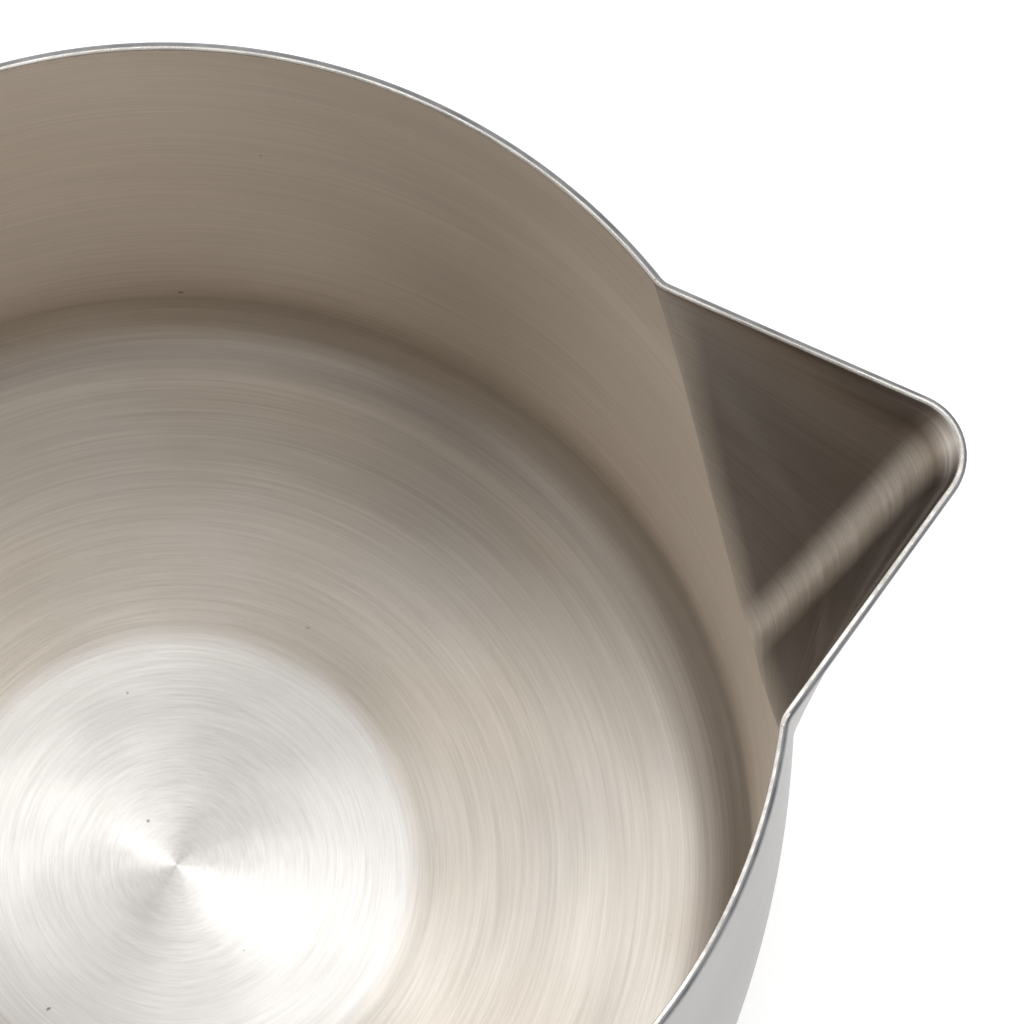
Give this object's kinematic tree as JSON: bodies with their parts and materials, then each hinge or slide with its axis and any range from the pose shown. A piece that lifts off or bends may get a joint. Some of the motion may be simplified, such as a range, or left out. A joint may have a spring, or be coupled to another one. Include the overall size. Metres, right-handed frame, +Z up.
{
  "type": "candle melting pot",
  "caption": "Drawn steel wax melting pot with a deep welded pouring spout and a riveted strap handle in a two-part grip.",
  "frame": {"origin": "centre of the flat base, on the surface the pot stands on", "axes": "+Z up along the pot's axis, +X from the axis towards the spout's tip, with the handle on the -X side"},
  "size_m": [0.1891, 0.1218, 0.092],
  "materials": {
    "pot_steel": "brushed in rings inside, fine satin outside",
    "spout_steel": "brushed along the sheet, polished cut edge",
    "strap_steel": "brushed along the strap",
    "rivet_steel": "smooth pressed heads",
    "grip_plastic": "finely textured moulding",
    "screw_steel": "bright turned steel"
  },
  "bodies": {
    "root": {"pot_body": "pot_steel", "pour_spout": "spout_steel", "handle_strap": "strap_steel", "strap_rivet_top": "rivet_steel", "strap_rivet_upper": "rivet_steel", "strap_rivet_lower": "rivet_steel", "strap_rivet_bottom": "rivet_steel", "grip_outer": "grip_plastic", "grip_inner": "grip_plastic", "grip_screw_upper": "screw_steel", "grip_screw_lower": "screw_steel", "grip_nut_upper": "screw_steel", "grip_nut_lower": "screw_steel"}
  },
  "joints": []
}
